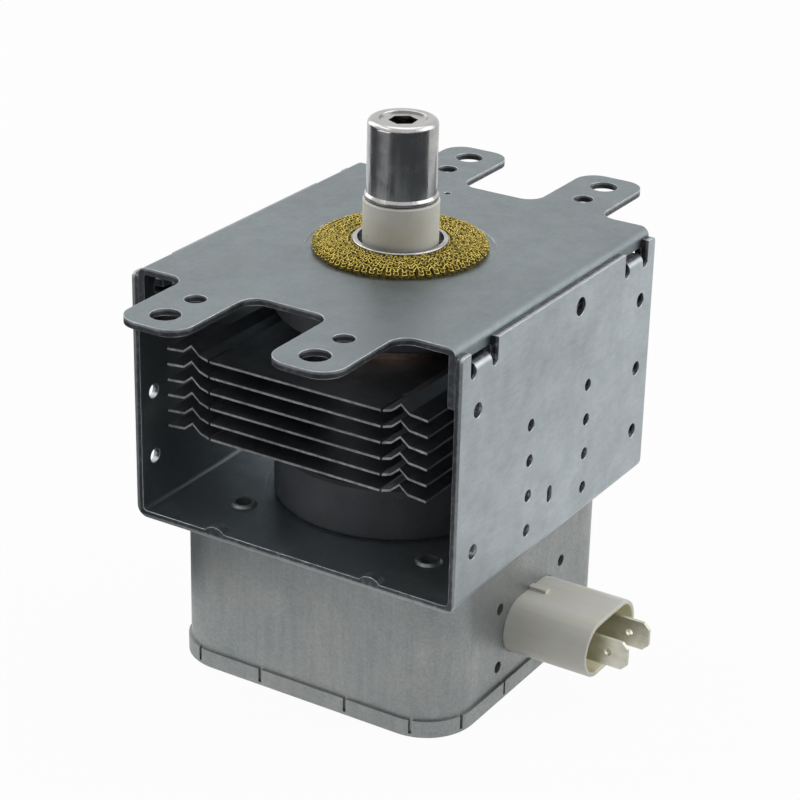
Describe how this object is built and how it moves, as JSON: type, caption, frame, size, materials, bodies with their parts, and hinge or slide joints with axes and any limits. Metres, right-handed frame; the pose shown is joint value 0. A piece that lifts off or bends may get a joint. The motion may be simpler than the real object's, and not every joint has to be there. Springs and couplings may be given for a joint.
{
  "type": "magnetron",
  "caption": "Permanent magnet microwave tube in a folded steel yoke with cooling fins, filter box, tab socket and a capped antenna.",
  "frame": {"origin": "on the antenna's axis, in the upper face of the mounting plate", "axes": "+Z along the antenna out of the plate, +X towards the tab socket, +Y the way the cooling air leaves"},
  "size_m": [0.099, 0.1276, 0.1187],
  "materials": {
    "yoke_plate_steel": "satin zinc plate, bluish grey",
    "yoke_channel_steel": "satin zinc plate, bluish grey",
    "box_steel": "mottled galvanised sheet",
    "lid_steel": "mottled galvanised sheet",
    "fin_aluminium": "rolled sheet with bright sheared edges",
    "ferrite": "ground dark ferrite",
    "copper": "bare copper",
    "iron": "annealed iron",
    "seal_steel": "bright drawn steel",
    "cap_steel": "polished drawn steel",
    "white_ceramic": "smooth matt alumina",
    "gasket_wire": "knitted brass wire",
    "molybdenum": "drawn molybdenum",
    "tungsten": "carburised tungsten",
    "socket_plastic": "cream moulded plastic",
    "compound": "sealing compound",
    "tinned_brass": "dull tinned brass",
    "choke_ferrite": "dark ferrite"
  },
  "bodies": {
    "root": {"yoke_top_plate": "yoke_plate_steel", "yoke_body": "yoke_channel_steel", "upper_magnet": "ferrite", "lower_magnet": "ferrite", "anode_cylinder": "copper", "upper_pole_piece": "iron", "lower_pole_piece": "iron", "output_seal": "seal_steel", "input_seal": "seal_steel", "antenna_insulator": "white_ceramic", "exhaust_cup": "seal_steel", "exhaust_tube": "copper", "antenna_cap": "cap_steel", "antenna_lead": "copper", "gasket_collar": "seal_steel", "mesh_gasket": "gasket_wire", "upper_end_hat": "molybdenum", "lower_end_hat": "molybdenum", "cathode_filament": "tungsten", "centre_lead": "molybdenum", "side_lead": "molybdenum", "stem_insulator": "white_ceramic", "centre_terminal": "seal_steel", "side_terminal": "seal_steel", "filter_box": "box_steel", "filter_lid": "lid_steel", "capacitor_plate": "seal_steel", "socket_shell": "socket_plastic", "rear_case": "socket_plastic", "capacitor_element": "white_ceramic", "front_filling": "compound", "rear_filling": "compound", "tab_conductor_1": "tinned_brass", "tab_conductor_2": "tinned_brass", "choke_coil_1": "copper", "choke_coil_2": "copper", "choke_core_1": "choke_ferrite", "choke_core_2": "choke_ferrite", "cooling_fin_1": "fin_aluminium", "cooling_fin_2": "fin_aluminium", "cooling_fin_3": "fin_aluminium", "cooling_fin_4": "fin_aluminium", "cooling_fin_5": "fin_aluminium", "cooling_fin_6": "fin_aluminium", "anode_vane_1": "copper", "anode_vane_2": "copper", "anode_vane_3": "copper", "anode_vane_4": "copper", "anode_vane_5": "copper", "anode_vane_6": "copper", "anode_vane_7": "copper", "anode_vane_8": "copper", "anode_vane_9": "copper", "anode_vane_10": "copper", "upper_inner_strap": "copper", "upper_outer_strap": "copper", "lower_inner_strap": "copper", "lower_outer_strap": "copper"}
  },
  "joints": []
}
